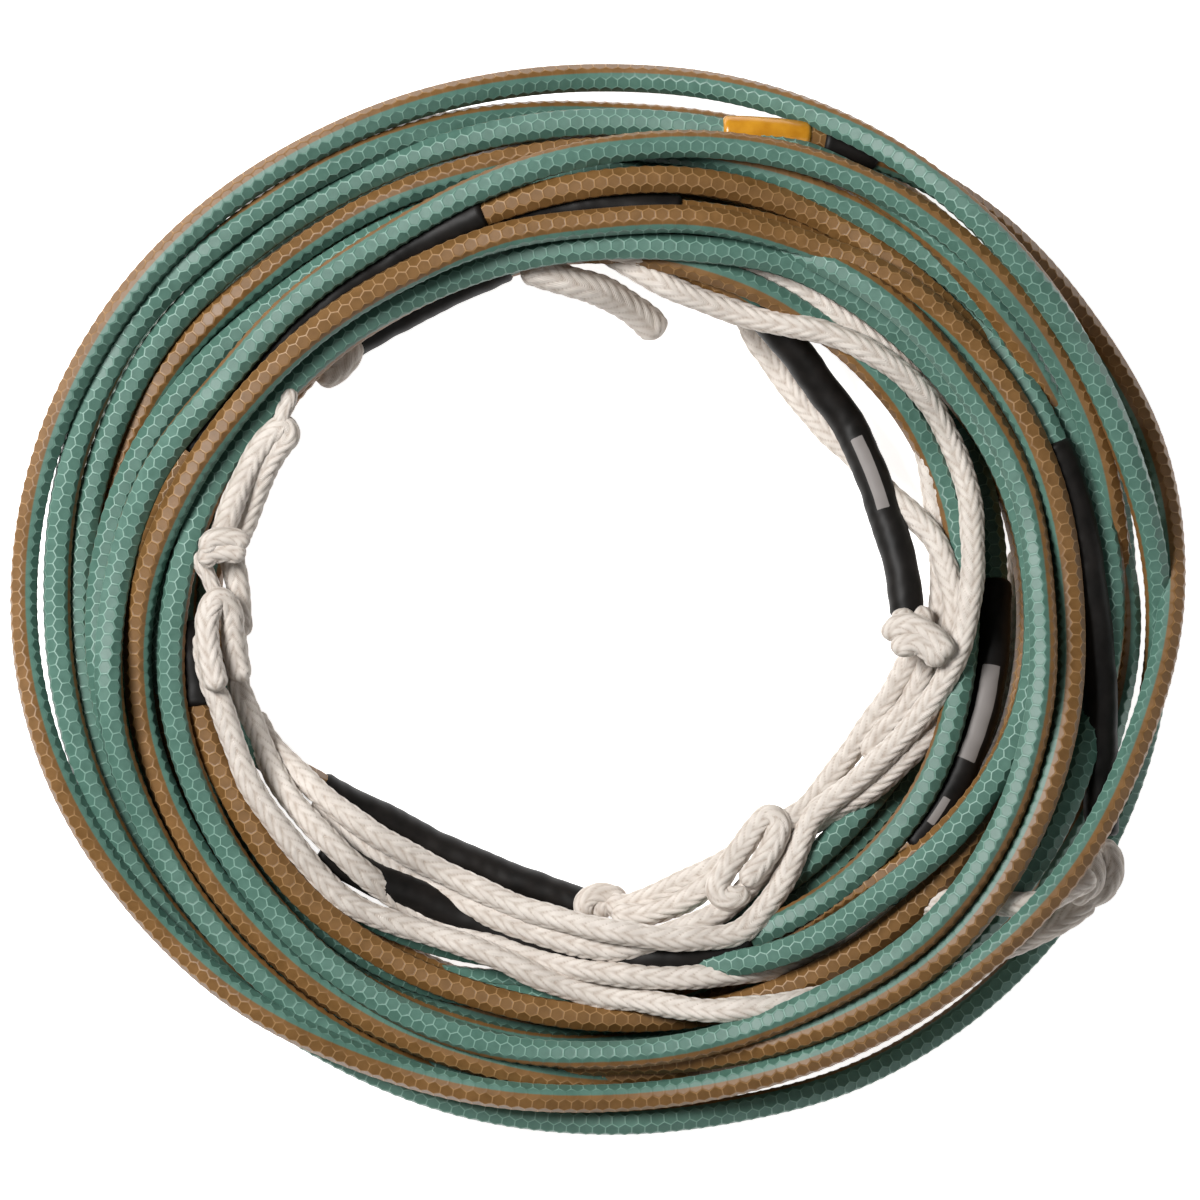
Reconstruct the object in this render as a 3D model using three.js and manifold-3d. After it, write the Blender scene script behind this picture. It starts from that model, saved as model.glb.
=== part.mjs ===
// Coiled multi-section tow-rope mainline, millimetres, +Z up.
// The rope is a hank laid flat: a coated main line, four short coated sections,
// and white braided loops that link one section to the next.
// The origin is on the surface the hank lies on, under the middle of the hank.

import * as THREE from 'three';
import { mergeVertices } from 'three/addons/utils/BufferGeometryUtils.js';
import Module from 'manifold-3d';

const wasm = await Module();
wasm.setup();

// ---- Driving dimensions ----------------------------------------------------

const HANK_HALF = [166.8, 152.1];        // outside of the hank, half width and half depth
const HOLE_HALF = [118, 106];            // opening in the middle of the hank
const RING_SEGMENTS = 24;                // per half turn

const STEP_FRACTION = 0.44;              // where the inner step ends, from the hole (0) to the outside (1)
const LOWER_HEIGHT = 28;                 // top of the main line's lower layers
const COIL_TOP = 46;                     // top of the main line's outer layers
const EDGE_ROUNDING = 3;

const GAP = 0.3;                         // clearance between neighbouring pieces
const SECTION_COIL_HEIGHT = 8.6;
const SECTION_COIL_ROUNDING = 1.5;

const LOOP_RADIUS = 3;                   // white braided rope
const TAIL_RADIUS = 4;                   // the tail is loose and fluffed out
const SLEEVE_RADIUS = 4.8;               // shrink sleeve over the end of a coated section
const AMBER_RADIUS = 4.6;
const KNOT_RADIUS = 4.4;

const LOOP_STEP = 18;                    // spacing of a loop strand's cross-sections
const SLEEVE_STEP = 14;
const CORD_SIDES = 8;
const SLEEVE_SIDES = 12;

// ---- Materials -------------------------------------------------------------

const coatedTeal = new THREE.MeshStandardMaterial({ color: 0x6fb9a4, roughness: 0.45, metalness: 0 });
const coatedTan = new THREE.MeshStandardMaterial({ color: 0x8d7350, roughness: 0.45, metalness: 0 });
const whiteBraid = new THREE.MeshStandardMaterial({ color: 0xe9e4d8, roughness: 0.9, metalness: 0 });
const blackSleeve = new THREE.MeshStandardMaterial({ color: 0x1b1c1e, roughness: 0.5, metalness: 0 });
const amberSleeve = new THREE.MeshStandardMaterial({ color: 0xc8761f, roughness: 0.35, metalness: 0 });

// ---- Routes ----------------------------------------------------------------
// Each point is [angle in degrees, distance from the hank's centre, height of the cord's centre].
// Angles run anticlockwise seen from above, from +X.

const SLEEVE_ROUTES = {
  sleeve_main_line_start: [[323, 107.4, 5], [345, 111.3, 5], [363, 112.4, 5]],
  sleeve_main_line_end: [[57, 149, 46], [61, 146.5, 46], [65, 143.4, 46]],
  sleeve_section_one_start: [[336, 156.5, 46], [350, 144, 46], [364, 138.4, 46], [380, 136, 46]],
  sleeve_section_one_end: [[108, 113.4, 46], [120, 112, 46], [135, 113.6, 46], [150, 117.6, 46], [160, 122.7, 46]],
  sleeve_section_two_start: [[183.6, 112.4, 5], [190, 112.2, 5], [196, 111.8, 5]],
  sleeve_section_two_end: [[76.5, 112.2, 46], [90, 111.1, 46], [101, 110.5, 46]],
  sleeve_section_three_start: [
    [358, 87.6, 5], [10, 85.4, 5], [25, 85.7, 5.5], [40, 87.3, 7], [50, 89.6, 7.8], [62, 94.1, 7.8],
  ],
  sleeve_section_three_end: [[213, 96.1, 5], [225, 87.9, 5], [240, 83.9, 5], [255, 84, 5], [267, 87.2, 5]],
  sleeve_section_four_start: [
    [222, 105.2, 5], [230, 101.8, 5], [240, 98.3, 5], [255, 98, 5], [270, 99.6, 5], [282, 100.4, 5], [295, 102, 5],
  ],
  sleeve_section_four_end: [[103.5, 99.2, 5], [112, 98.1, 5], [124, 98.6, 5], [134.5, 101.6, 5]],
};

const AMBER_ROUTE = [[65.6, 143, 46], [70.5, 139.6, 46], [76, 135.7, 46]];

const LOOP_ROUTES = {
  loop_strand_outer: [
    [200, 102.5, 13], [205, 101.2, 17], [215, 95.8, 24.8], [225, 91.6, 22.5], [240, 88.8, 16],
    [255, 89.3, 15.5], [270, 92.5, 19], [280, 97, 20.5], [286, 99.6, 20.5], [292, 101, 19], [300, 98, 17],
    [310, 89.6, 15], [320, 87.4, 13.5], [330, 91.6, 12], [340, 96.4, 12.5], [350, 101.5, 14.8],
    [360, 104.9, 14], [370, 107.4, 11], [382, 109, 9.5], [394, 108.6, 11], [405, 102.6, 14.5],
    [413, 96.5, 16.6], [422, 90.8, 16.4], [434, 89.8, 12], [443, 93.7, 10.5], [449, 99.6, 10.5],
  ],
  loop_strand_inner: [
    [215, 97, 17.5], [225, 95.6, 15], [240, 94.4, 13.5], [255, 95, 13.5], [275, 98.4, 13.5], [290, 95.3, 12.5],
    [300, 90.7, 10.5], [310, 86.8, 8.2], [320, 90.7, 6.5], [330, 96.4, 5], [340, 101.6, 4],
  ],
  loop_strand_under_sleeve: [
    [56, 82.8, 3.6], [50, 80.6, 3.6], [42, 78.8, 4.4], [34, 78.6, 9.5], [26, 83.4, 14.2], [19, 89, 14.2],
    [12, 95.4, 11.2], [5, 99.2, 10], [357, 100.6, 8.4], [350, 99.5, 7.2],
  ],
  loop_strand_beside: [[25, 102.3, 3.4], [14, 98.6, 3.4], [7, 97.6, 3.4], [359.5, 96.6, 3.4]],
  loop_strand_top: [[45, 106, 3.4], [60, 104.6, 3.4], [75, 100.4, 3.4], [86, 99, 3.4]],
  link_strand_outer: [
    [184.5, 103.8, 4], [196, 103.6, 4.5], [206, 106.5, 6.5], [216, 108, 12.5], [226, 107.2, 17.5], [236, 104.8, 21.5],
    [246, 103.6, 25], [252, 103.2, 30], [258, 102.6, 38], [264, 103, 48], [271, 108, 51.2], [280, 116.5, 50],
    [293, 124.4, 49.6], [303, 133, 49.6], [314, 142.5, 49.6], [321, 149.5, 49.6],
  ],
  link_strand_inner: [
    [184.5, 97.2, 4], [196, 97, 4.5], [208, 100.4, 8.5], [218, 102, 12.8], [228, 101.8, 13.8], [240, 102, 13.8],
    [250, 102.3, 16.5], [258, 102, 23], [265, 102, 32], [271, 102.2, 42], [277, 104.5, 49.8], [284, 110, 50.5],
    [300, 117.3, 49.6], [310, 121.6, 49.6], [319, 127, 49.6], [323, 137, 49.6], [327, 150.5, 49.6],
  ],
};

const TAIL_ROUTE = [[98, 93.4, 4.4], [91, 88.4, 4.4], [84, 83.8, 4.4], [77, 76.9, 4.4]];
const SHORT_LEG_ROUTE = [
  [348.6, 91, 3.4], [335, 86.8, 3.4], [320, 84, 3.4], [311, 82.2, 3.4], [305, 79.4, 3.4], [299, 81, 3.4],
];

// A knot is a lump across the cord: [angle, distance, height, length along the radius]
const KNOTS = {
  knot_section_three_start: [353, 90, 4.8, 6],
  knot_middle_link: [292.5, 85.4, 4.8, 3.4],
  knot_section_three_end: [272, 86.4, 4.8, 2.6],
  knot_left_link: [178.6, 104.4, 4.8, 5],
  knot_left_wrap: [171.6, 99, 4.8, 3],
  knot_section_four_end: [139.6, 101, 4.8, 1],
  knot_section_one_start: [331, 160.2, 47.5, 7],
};

// ---- Geometry helpers ------------------------------------------------------

function toManifold(geometry) {
  const bare = new THREE.BufferGeometry();
  bare.setAttribute('position', geometry.getAttribute('position'));
  if (geometry.index) {
    bare.setIndex(geometry.index);
  }
  const merged = mergeVertices(bare, 1e-4);
  return new wasm.Manifold(new wasm.Mesh({
    numProp: 3,
    vertProperties: new Float32Array(merged.getAttribute('position').array),
    triVerts: new Uint32Array(merged.index.array),
  }));
}

function fromManifold(solid) {
  const mesh = solid.getMesh();
  const geometry = new THREE.BufferGeometry();
  geometry.setAttribute('position', new THREE.BufferAttribute(new Float32Array(mesh.vertProperties), 3));
  geometry.setIndex(new THREE.BufferAttribute(new Uint32Array(mesh.triVerts), 1));
  geometry.computeVertexNormals();
  return geometry;
}

function polar(angle, distance, height) {
  const radians = THREE.MathUtils.degToRad(angle);
  return new THREE.Vector3(distance * Math.cos(radians), distance * Math.sin(radians), height);
}

// An ellipse between the hole (fraction 0) and the outside of the hank (fraction 1).
function hankEllipse(fraction) {
  const halfWidth = THREE.MathUtils.lerp(HOLE_HALF[0], HANK_HALF[0], fraction);
  const halfDepth = THREE.MathUtils.lerp(HOLE_HALF[1], HANK_HALF[1], fraction);
  return [halfWidth, halfDepth];
}

function ellipsePath(PathClass, halfWidth, halfDepth, clockwise) {
  const path = new PathClass();
  path.absellipse(0, 0, halfWidth, halfDepth, 0, 2 * Math.PI, clockwise, 0);
  return path;
}

// A flat ring with rounded edges between two fractions of the hank's width and two heights.
function ringSolid(innerFraction, outerFraction, bottom, top, rounding, trim = 0) {
  const [outerWidth, outerDepth] = hankEllipse(outerFraction);
  const [innerWidth, innerDepth] = hankEllipse(innerFraction);
  const shape = ellipsePath(THREE.Shape, outerWidth - trim, outerDepth - trim, false);
  shape.holes.push(ellipsePath(THREE.Path, innerWidth + trim, innerDepth + trim, true));
  const geometry = new THREE.ExtrudeGeometry(shape, {
    depth: top - bottom - 2 * rounding,
    curveSegments: RING_SEGMENTS,
    bevelEnabled: true,
    bevelSize: rounding,
    bevelThickness: rounding,
    bevelOffset: -rounding,
    bevelSegments: 2,
  });
  geometry.translate(0, 0, bottom + rounding);
  return toManifold(geometry);
}

// A tube along a route of [angle, distance, height] points.
function tubeGeometry(route, radius, sides, step, lengthen = 0) {
  const points = route.map(([angle, distance, height]) => polar(angle, distance, height));
  if (lengthen > 0) {
    const start = points[0].clone().sub(points[1]).setLength(lengthen);
    const end = points.at(-1).clone().sub(points.at(-2)).setLength(lengthen);
    points[0].add(start);
    points.at(-1).add(end);
  }
  const curve = new THREE.CatmullRomCurve3(points, false, 'centripetal');
  const section = new THREE.Shape();
  for (let side = 0; side < sides; side += 1) {
    const turn = (2 * Math.PI * side) / sides;
    const corner = [radius * Math.cos(turn), radius * Math.sin(turn)];
    if (side === 0) {
      section.moveTo(...corner);
    } else {
      section.lineTo(...corner);
    }
  }
  section.closePath();
  return new THREE.ExtrudeGeometry(section, {
    steps: Math.max(2, Math.ceil(curve.getLength() / step)),
    bevelEnabled: false,
    extrudePath: curve,
  });
}

// A capsule lying along the radius of the hank.
function knotGeometry([angle, distance, height, length], radius) {
  const geometry = new THREE.CapsuleGeometry(radius, length, 3, 10);
  geometry.rotateZ(Math.PI / 2);
  geometry.rotateZ(THREE.MathUtils.degToRad(angle));
  const centre = polar(angle, distance, height);
  geometry.translate(centre.x, centre.y, centre.z);
  return geometry;
}

// ---- Assembly --------------------------------------------------------------

const rope = new THREE.Group();
rope.name = 'tow_rope_mainline';

function addPiece(name, geometry, material) {
  const mesh = new THREE.Mesh(geometry, material);
  mesh.name = name;
  rope.add(mesh);
}

// Everything that lies half sunk in the top of the coils needs its own groove there.
function sunkenPieces() {
  const grooves = [tubeGeometry(AMBER_ROUTE, AMBER_RADIUS + GAP, SLEEVE_SIDES, SLEEVE_STEP, GAP)];
  for (const route of Object.values(SLEEVE_ROUTES)) {
    if (route[0][2] >= LOWER_HEIGHT) {
      grooves.push(tubeGeometry(route, SLEEVE_RADIUS + GAP, SLEEVE_SIDES, SLEEVE_STEP, GAP));
    }
  }
  grooves.push(knotGeometry(KNOTS.knot_section_one_start, KNOT_RADIUS + GAP));
  return grooves.map(toManifold);
}

function carve(solid, grooves) {
  return grooves.reduce((rest, groove) => rest.subtract(groove), solid);
}

function buildCoils() {
  const grooves = sunkenPieces();
  const lower = ringSolid(0, 1, 0, LOWER_HEIGHT, EDGE_ROUNDING);
  const outer = ringSolid(STEP_FRACTION, 1, LOWER_HEIGHT / 2, COIL_TOP, EDGE_ROUNDING);
  addPiece('main_line_coil', fromManifold(carve(lower.add(outer), grooves)), coatedTeal);

  const coils = [
    { name: 'section_three_coil', column: 0, layer: 0, material: coatedTan },
    { name: 'section_four_coil', column: 1, layer: 0, material: coatedTeal },
    { name: 'section_two_coil', column: 0, layer: 1, material: coatedTan },
    { name: 'section_one_coil', column: 1, layer: 1, material: coatedTeal },
  ];
  const columnWidth = STEP_FRACTION / 2;
  for (const { name, column, layer, material } of coils) {
    const bottom = LOWER_HEIGHT + GAP + layer * (SECTION_COIL_HEIGHT + GAP);
    const ring = ringSolid(
      column * columnWidth,
      (column + 1) * columnWidth,
      bottom,
      bottom + SECTION_COIL_HEIGHT,
      SECTION_COIL_ROUNDING,
      GAP / 2,
    );
    addPiece(name, fromManifold(carve(ring, grooves)), material);
  }
}

function buildSleeves() {
  for (const [name, route] of Object.entries(SLEEVE_ROUTES)) {
    addPiece(name, tubeGeometry(route, SLEEVE_RADIUS, SLEEVE_SIDES, SLEEVE_STEP), blackSleeve);
  }
  addPiece('marker_sleeve', tubeGeometry(AMBER_ROUTE, AMBER_RADIUS, SLEEVE_SIDES, SLEEVE_STEP), amberSleeve);
}

function buildLoops() {
  for (const [name, route] of Object.entries(LOOP_ROUTES)) {
    addPiece(name, tubeGeometry(route, LOOP_RADIUS, CORD_SIDES, LOOP_STEP), whiteBraid);
  }
  addPiece('loop_strand_short', tubeGeometry(SHORT_LEG_ROUTE, LOOP_RADIUS, CORD_SIDES, LOOP_STEP / 2), whiteBraid);
  addPiece('free_tail', tubeGeometry(TAIL_ROUTE, TAIL_RADIUS, CORD_SIDES, LOOP_STEP), whiteBraid);
}

// The doubled end of the left loop: two legs that meet in a rounded bight.
function buildLeftLoopEnd() {
  const legs = [102, 95.4].map((distance) => {
    const route = [[152, distance, 3.6], [160, distance, 3.6], [168.5, distance, 3.6]];
    return toManifold(tubeGeometry(route, LOOP_RADIUS, CORD_SIDES, LOOP_STEP));
  });
  const bight = toManifold(knotGeometry([152, 98.7, 3.6, 6.6], LOOP_RADIUS + 0.2));
  addPiece('loop_end_left', fromManifold(legs[0].add(bight).add(legs[1])), whiteBraid);
}

// Two short legs run from the knot of section three's end to the middle link.
function buildMiddleLegs() {
  [89.2, 82.8].forEach((distance, index) => {
    const route = [[276.2, distance, 3.6], [282, distance, 3.6], [288.3, distance, 3.6]];
    addPiece(`middle_link_leg_${index + 1}`, tubeGeometry(route, LOOP_RADIUS, CORD_SIDES, LOOP_STEP), whiteBraid);
  });
}

function buildKnots() {
  for (const [name, placing] of Object.entries(KNOTS)) {
    addPiece(name, knotGeometry(placing, KNOT_RADIUS), whiteBraid);
  }
}

buildCoils();
buildSleeves();
buildLoops();
buildLeftLoopEnd();
buildMiddleLegs();
buildKnots();

export default rope;
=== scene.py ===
"""A coiled multi-section tow-rope mainline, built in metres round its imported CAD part.

Every rope is one route: a list of (angle in degrees, distance from the hank's centre in mm), seen
from above, anticlockwise from +X. Its heights are worked out by lay_ropes(), which drops the ropes on
the floor and on each other in the order in which they lie. Only where a knot holds a rope up is its
height given.
"""

import math

import bpy
import numpy as np
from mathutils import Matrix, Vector


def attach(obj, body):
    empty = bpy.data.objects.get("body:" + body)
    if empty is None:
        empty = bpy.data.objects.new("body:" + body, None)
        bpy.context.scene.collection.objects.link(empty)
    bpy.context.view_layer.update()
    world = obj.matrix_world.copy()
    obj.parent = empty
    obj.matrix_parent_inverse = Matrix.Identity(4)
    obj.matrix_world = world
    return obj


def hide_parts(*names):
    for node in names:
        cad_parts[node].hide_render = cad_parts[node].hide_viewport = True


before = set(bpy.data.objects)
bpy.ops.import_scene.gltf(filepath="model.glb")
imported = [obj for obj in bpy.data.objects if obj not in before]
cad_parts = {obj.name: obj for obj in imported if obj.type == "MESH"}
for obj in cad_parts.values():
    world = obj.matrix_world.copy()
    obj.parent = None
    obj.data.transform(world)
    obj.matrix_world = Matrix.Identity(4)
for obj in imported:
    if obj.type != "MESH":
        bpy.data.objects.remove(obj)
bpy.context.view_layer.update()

MM = 0.001
CENTRE_X = -0.6                 # the routes' centre, in mm from the CAD origin

LINE_RADIUS = 4.0               # coated line
BRAID_RADIUS = 3.0              # white braided rope
TAIL_RADIUS = 3.9               # its loose end, fluffed out
WRAP_RADIUS = 2.7               # the same rope pulled tight in a knot
THIN_RADIUS = 2.0
SLEEVE_RADIUS = 4.9             # black shrink sleeve
AMBER_RADIUS = 4.7              # amber marker sleeve

LAY_GAP = 0.15                  # added to each radius, so that ropes lie on each other, not in each other
HEIGHT_SHARE = 0.77             # then the pile settles to this share, as soft ropes press into each other
LAYING_ROUNDS = 2
LAYING_CHUNK = 400              # points compared with all the others at a time
OWN_REACH = 8                   # a point doesn't lie on its own rope within this many points
COIL_STEP = 4.0                 # spacing of the points that are laid, on the coils
KNOT_STEP = 2.0                 # and on the strands of a knot
LINE_SLOPE = 0.45               # the steepest that the coated line climbs
LINE_SOFTNESS = 12.0            # and the length over which it bends
BRAID_SLOPE = 0.6               # the same for the white rope
BRAID_SOFTNESS = 8.0
LINK_SLOPE = 1.0                # the link's inner strand comes down steeply into its knot
TAIL_SLOPE = 1.2                # and the loose end droops
COIL_DETAIL = 2                 # points for each degree of a coil's smooth line
STRAND_DETAIL = 8               # and for each step of a strand's route
PATH_DETAIL = 4                 # and between two laid points

HEX_COLUMNS = 8                 # embossed cells round the coated line
HEX_PITCH = 3.628               # and their spacing along it
HEX_INSET = 0.80                # a cell's floor, as a share of the cell
HEX_DEPTH = 0.2
SEAM_START = 0.10               # where the jacket's two halves meet, the emboss fades out
SEAM_END = 0.45
JACKET_ROWS = 1350              # rows of cells in one mesh

BRAID_COLUMNS = 6               # columns of stitches round the white rope
BRAID_PITCH = 4.2               # spacing of the stitches along a column
BRAID_SLANT = 1.35              # how many pitches a stitch runs along the rope as it crosses its column
BRAID_DEPTH = 0.6
BRAID_DETAIL = 7                # vertices across a stitch
BRAID_STEP = 0.45
BRAID_WIDTH = 1.22              # the hollow rope lies a little flat
BRAID_THICKNESS = 0.92

SLEEVE_STEP = 0.6
SLEEVE_COLUMNS = 40
SLEEVE_LIP = 1.2                # length over which a sleeve's end draws in
LIP_DRAW = 0.18                 # and by what share of its radius


# ---- Camera -----------------------------------------------------------------

FRAME_WIDTH = 0.3392            # what the picture takes in at the hank's middle height
CAMERA_DISTANCE = 2.4
MIDDLE_HEIGHT = 0.035

camera_data = bpy.data.cameras.new("camera")
camera_data.sensor_width = 36
camera_data.lens = camera_data.sensor_width * CAMERA_DISTANCE / FRAME_WIDTH
camera = bpy.data.objects.new("camera", camera_data)
camera.location = (0, 0, MIDDLE_HEIGHT + CAMERA_DISTANCE)
bpy.context.scene.collection.objects.link(camera)
bpy.context.scene.camera = camera


# ---- Routes -----------------------------------------------------------------

# The main line's five stretches that show on top of the hank, from its first end to its last. The
# first one starts with a hidden climb, up to 283 degrees.
TOP_INNER = [
    (215, 135), (228, 127), (242, 119), (256, 112.5), (270, 108.5),
    (283, 106), (290, 109.5), (300, 113), (315, 115.5), (330, 120.5), (345, 124), (360, 123.5),
    (375, 121.5), (390, 117.5), (405, 113), (420, 109), (435, 102.5), (450, 99.5), (465, 99),
    (480, 100), (495, 103), (510, 107.5), (525, 114), (540, 119), (555, 123.5), (570, 125.5),
    (585, 127), (600, 128.5), (615, 129), (630, 128.5), (645, 128.5), (660, 129), (675, 131),
    (690, 130), (705, 127.5), (720, 124.5), (735, 123.5), (750, 120), (765, 117.5), (780, 113.5),
    (795, 109.5), (810, 106.5), (825, 105), (840, 107), (855, 109), (870, 113), (885, 118),
    (900, 123.5),
]
TOP_SHORT = [
    (320, 142), (330, 143.5), (345, 144), (360, 145.5), (375, 143.5), (390, 139.5), (405, 134.5),
    (420, 131.5), (435, 129.5), (450, 128), (465, 127), (480, 128.5), (495, 131.5), (510, 137.5),
    (525, 141), (540, 141.5), (555, 143),
]
TOP_MIDDLE = [
    (272, 130.5), (285, 133), (300, 136.5), (315, 138.5), (330, 137.5), (345, 135.5), (360, 133),
    (375, 131.5), (390, 128.5), (405, 123.5), (420, 116), (435, 110.5), (450, 106), (465, 105.5),
    (480, 106), (495, 109), (510, 113.5), (525, 120.5), (540, 128.5), (555, 133), (570, 134),
    (585, 134.5), (600, 135), (618, 135),
]
TOP_WANDERING = [
    (20, 147.5), (30, 146), (45, 143), (60, 138.5), (75, 132.5), (90, 126), (105, 120.5),
    (120, 117.5), (135, 119), (150, 122), (165, 130.5), (180, 136.5), (195, 141), (210, 142),
    (225, 142.5), (240, 143), (255, 142.5), (270, 142), (285, 142.5), (300, 143.5), (315, 145.5),
    (330, 148.5), (345, 150), (360, 150), (370, 146), (380, 141.5), (390, 139.5), (405, 139),
    (420, 139), (435, 136.5), (450, 135), (465, 135), (480, 136.5), (495, 140), (510, 144.5),
    (525, 146.5), (540, 147), (555, 147.5), (565, 147.5),
]
TOP_OUTER = [
    (88, 138), (97, 139), (105, 140.5), (120, 143.5), (135, 147), (150, 152.5), (165, 154),
    (180, 153), (195, 152.5), (210, 151.5), (225, 150.5), (240, 148.5), (255, 148), (270, 148),
    (285, 150), (300, 155), (315, 158.5), (330, 160.5), (345, 160.5), (360, 159), (375, 155),
    (390, 152.5), (405, 151), (420, 150.5), (435, 149.5), (450, 148.5), (465, 148.5), (480, 150.5),
    (495, 154.5), (510, 158.5), (525, 161.5), (540, 162.5), (555, 160.5), (570, 156.5), (585, 152),
    (600, 146.5), (615, 143), (630, 141), (645, 141.5), (660, 144), (675, 147.5), (690, 152.5),
    (705, 157), (720, 162.5), (735, 164), (750, 160), (765, 155), (775, 150), (785, 143.5),
    (795, 136.5),
]
START_OF_MAIN_LINE = [
    (-38, 112.5), (-30, 113), (-15, 113), (0, 112.5), (10, 113.5), (20, 114), (30, 113.5),
]

# What joins those stretches lies hidden under them.
LINK_AFTER_INNER = [(195, 128.5), (215, 132), (240, 135), (270, 138), (295, 141)]
LINK_AFTER_SHORT = [(210, 142), (230, 140.5), (250, 135.5), (262, 132.5)]
LINK_AFTER_MIDDLE = [(280, 138.5), (305, 143), (330, 145.5), (345, 147), (365, 147.5)]
LINK_AFTER_WANDERING = [
    (225, 143.5), (250, 140.5), (280, 140.5), (315, 143.5), (345, 148), (360, 149), (380, 146.5),
    (405, 145), (422, 142.8), (434, 139.8),
]

# The buried turns fill the space between these two outlines.
BURIED_OUTSIDE = [
    (0, 155.5), (30, 155), (60, 141.5), (90, 138.5), (120, 145.5), (150, 152.5), (180, 154.5),
    (210, 152.5), (240, 145.5), (270, 143.5), (300, 143.5), (330, 148.5),
]
BURIED_INSIDE = [
    (0, 118), (20, 117), (40, 110), (60, 105), (90, 99.5), (120, 99.5), (150, 106), (180, 116.5),
    (210, 115.5), (240, 112), (270, 112), (290, 106), (312, 105), (328, 115), (345, 118.5),
]
BURIED_TURNS = 13.5
BURIED_COLUMNS = [0, 1, 2, 3, 4, 4, 3, 2, 1, 0, 0, 1, 2, 3]
BURIED_START = 40
BURIED_STEP = 15
TURNS_IN_LAYER = 5
COLUMN_SPAN = 0.94              # the share of the width that a layer's columns take up
LAYER_OFFSET = 0.06             # and by how much every other layer is set outwards
DRIFT_SHARE = 0.25              # a turn moves to its next column in its last quarter

SECTION_ONE = [
    (335, 157), (340, 151), (345, 147), (350, 144), (355, 141.5), (360, 139.5), (370, 137.5),
    (380, 136), (390, 134), (405, 130.5), (420, 128), (435, 124.5), (450, 122), (465, 120),
    (480, 120.5), (495, 123.5), (510, 130), (525, 137), (540, 141), (555, 142), (570, 141.5),
    (600, 138.5), (630, 135.5), (660, 137), (690, 135.5), (720, 133.5), (738, 131.5), (750, 130.5),
    (765, 127), (780, 125), (795, 121.5), (810, 117), (825, 113.5), (840, 112), (855, 113.5),
    (870, 117.5), (880, 122.5),
]
SECTION_TWO = [
    (183, 117), (190, 116), (196, 117), (210, 117), (225, 118), (240, 117.5), (255, 117),
    (270, 118.5), (285, 121), (300, 122.5), (315, 124), (330, 124.5), (345, 125.5), (360, 127),
    (390, 127), (420, 124.5), (450, 120), (480, 118.5), (510, 121.5), (540, 128.5), (570, 133),
    (600, 134.5), (640, 134.5), (690, 134.5), (720, 131.5), (750, 128), (770, 121.5), (785, 116),
    (796, 112), (810, 111), (825, 110.5),
]
SECTION_THREE = [
    (357, 87.5), (365, 86.5), (375, 85), (385, 85.5), (395, 87), (405, 88), (415, 91.5), (422, 94),
    (430, 95.5), (440, 97), (450, 99), (465, 99.5), (480, 100.5), (495, 104), (510, 109),
    (525, 113.5), (540, 117.5), (555, 117.5), (570, 116.5), (585, 113), (600, 109), (615, 104.5),
    (630, 100.5), (645, 97.5), (660, 96), (675, 95.5), (690, 96.5), (705, 99.5), (720, 102.5),
    (740, 105), (765, 106), (780, 104.5), (795, 102.5), (810, 102), (825, 101), (840, 102),
    (855, 103.5), (870, 106), (885, 108.5), (900, 110.5), (915, 109), (925, 105), (933, 96),
    (937, 93.5), (945, 88), (955, 85), (965, 83.5), (975, 84), (982, 85.5), (988, 87.5),
]
SECTION_FOUR = [
    (222, 105), (230, 102), (237, 99), (248, 98), (262, 98.5), (270, 100.5), (280, 103),
    (290, 104.5), (296, 105), (315, 106.5), (330, 106.5), (345, 105), (360, 104), (375, 103.5),
    (390, 102.5), (405, 100.5), (420, 99), (435, 98), (450, 99), (465, 100.5), (480, 103),
    (510, 109), (540, 114.5), (570, 119), (600, 120), (630, 111), (645, 104), (660, 101.5),
    (675, 101), (690, 102), (705, 104.5), (720, 106), (750, 106), (765, 105), (780, 103),
    (795, 100.5), (810, 99.5),
    (823, 99), (830, 98), (840, 98), (850, 100), (855, 102),
]

LOOP_OUTER = [
    (-162, 103.5), (-158, 102.5), (-155, 101), (-145, 96), (-135, 92), (-130, 90.5), (-120, 89),
    (-105, 89.5), (-98, 90.5),
    (-90, 93), (-80, 97), (-75, 99), (-67, 102), (-60, 98), (-55, 94), (-50, 89.5), (-45, 86.5),
    (-40, 87.5), (-35, 89.5), (-30, 91.5), (-25, 94), (-20, 96.5), (-15, 99), (-10, 101.5),
    (-5, 103.5), (0, 105), (5, 106.5), (10, 107.5), (15, 109), (20, 109.5), (25, 109.5),
    (30, 109.5), (35, 108), (40, 105.5), (45, 102.5), (50, 99), (55, 95), (60, 91.5), (65, 90),
    (70, 89.5), (75, 90), (80, 92), (85, 95.5), (88, 98.5), (91, 101.5), (94, 104),
]
LOOP_INNER = [
    (-145, 98), (-135, 96), (-120, 94.5), (-105, 95), (-98, 96.5), (-90, 98.5), (-85, 98.5),
    (-75, 96), (-70, 95.5), (-65, 93.5), (-60, 90.5), (-55, 88.5), (-50, 87), (-45, 88),
    (-40, 90.5), (-35, 94), (-30, 96.5), (-25, 99), (-20, 102.5), (-16, 105), (-12, 107),
]
LOOP_UNDER_SLEEVE = [
    (-10, 99.5), (-5, 100.5), (0, 100.5), (5, 99), (10, 97), (15, 92.5), (20, 88), (25, 85.5),
    (30, 83.5), (35, 81.5), (40, 81), (45, 81), (50, 82.5), (55, 85), (58, 86.5),
    (61, 90), (64, 95),
]
LOOP_BESIDE = [
    (-9, 94), (-5, 96), (0, 97), (5, 98), (10, 98.5), (17, 100), (25, 102.5), (31, 104.5), (37, 107),
]
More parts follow.
